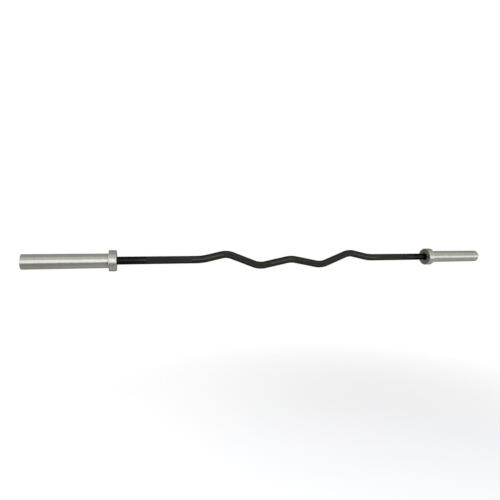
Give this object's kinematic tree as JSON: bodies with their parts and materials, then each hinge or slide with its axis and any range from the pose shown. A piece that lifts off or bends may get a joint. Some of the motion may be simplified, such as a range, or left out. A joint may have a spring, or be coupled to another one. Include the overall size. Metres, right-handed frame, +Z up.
{
  "type": "olympic ez bar",
  "caption": "Long rackable curl bar: a black steel shaft with a shallow W of grip bends and a rotating steel plate sleeve with a collar at each end.",
  "frame": {"origin": "mid length of the bar, on the axis that both sleeves turn about", "axes": "+X along the bar to the right sleeve's end, +Z up, so that the grip bends lie in the XZ plane with their crests up"},
  "size_m": [1.892, 0.073, 0.0754],
  "materials": {
    "black_steel": "satin black coating, knurled in the grip zones",
    "sleeve_steel": "satin, turned",
    "collar_steel": "satin, turned",
    "bronze": "machined bronze",
    "washer_steel": "ground",
    "spring_steel": "black oxide",
    "seal_rubber": "matt",
    "cap_steel": "satin, bare"
  },
  "bodies": {
    "shaft": {"shaft": "black_steel", "left_inner_thrust_washer": "washer_steel", "left_outer_thrust_washer": "washer_steel", "left_snap_ring": "spring_steel", "right_inner_thrust_washer": "washer_steel", "right_outer_thrust_washer": "washer_steel", "right_snap_ring": "spring_steel"},
    "left_sleeve": {"left_sleeve": "sleeve_steel", "left_collar": "collar_steel", "left_dust_seal": "seal_rubber", "left_inner_bushing": "bronze", "left_outer_bushing": "bronze", "left_end_cap": "cap_steel", "left_cap_ring": "spring_steel"},
    "right_sleeve": {"right_sleeve": "sleeve_steel", "right_collar": "collar_steel", "right_dust_seal": "seal_rubber", "right_inner_bushing": "bronze", "right_outer_bushing": "bronze", "right_end_cap": "cap_steel", "right_cap_ring": "spring_steel"}
  },
  "joints": [
    {"name": "left_sleeve_spin", "type": "hinge", "parent": "shaft", "child": "left_sleeve", "pos_m": [-0.8, 0, 0], "axis": [1, 0, 0], "continuous": true},
    {"name": "right_sleeve_spin", "type": "hinge", "parent": "shaft", "child": "right_sleeve", "pos_m": [0.8, 0, 0], "axis": [1, 0, 0], "continuous": true}
  ]
}
